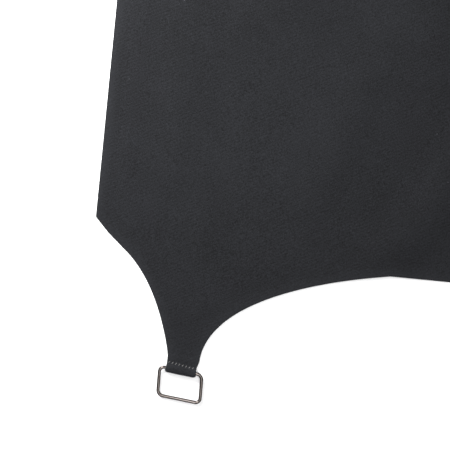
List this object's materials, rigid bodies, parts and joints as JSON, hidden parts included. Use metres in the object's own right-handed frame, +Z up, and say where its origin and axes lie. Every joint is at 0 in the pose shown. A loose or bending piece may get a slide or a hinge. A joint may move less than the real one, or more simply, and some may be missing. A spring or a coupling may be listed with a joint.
{
  "type": "artist smock apron",
  "caption": "Wrap-around cloth smock apron with a bib, patch pockets, crossed webbing shoulder straps with sliders, and wire rings on tabs at its back wings, laid flat.",
  "frame": {"origin": "on the table, under the middle of the laid-out apron's bounding box", "axes": "+X across the apron (the right wing as seen from the front), +Y along it from the hem to the bib's top and the straps, +Z up off the table, out of the cloth's front side"},
  "size_m": [1.12, 1.151, 0.0125],
  "materials": {
    "body_cloth": "matt charcoal cotton twill",
    "pocket_cloth": "matt charcoal cotton twill",
    "webbing": "black cotton herringbone webbing",
    "label_cloth": "blank woven label",
    "nickel": "polished dark nickel plate"
  },
  "bodies": {
    "root": {"body_panel": "body_cloth", "chest_pocket": "pocket_cloth", "hip_pocket_left": "pocket_cloth", "hip_pocket_right": "pocket_cloth", "brush_pocket": "pocket_cloth", "towel_loop": "webbing", "label_patch": "label_cloth", "strap_right": "webbing", "strap_left": "webbing"},
    "ring_right": {"ring_right": "nickel"},
    "ring_left": {"ring_left": "nickel"},
    "slider_right": {"slider_right": "nickel"},
    "slider_left": {"slider_left": "nickel"}
  },
  "joints": [
    {"name": "ring_right_swing", "type": "hinge", "parent": "root", "child": "ring_right", "pos_m": [0.4824, 0.11351, 0.00235], "axis": [0.9943, -0.1063, 0], "range_deg": [0, 170]},
    {"name": "ring_left_swing", "type": "hinge", "parent": "root", "child": "ring_left", "pos_m": [-0.4824, 0.11351, 0.00235], "axis": [0.9943, 0.1063, 0], "range_deg": [0, 170]},
    {"name": "slider_right_travel", "type": "slide", "parent": "root", "child": "slider_right", "axis": [-0.342, -0.9397, 0], "range_m": [-0.08, 0.08]},
    {"name": "slider_left_travel", "type": "slide", "parent": "root", "child": "slider_left", "axis": [0.342, -0.9397, 0], "range_m": [-0.08, 0.08]}
  ]
}
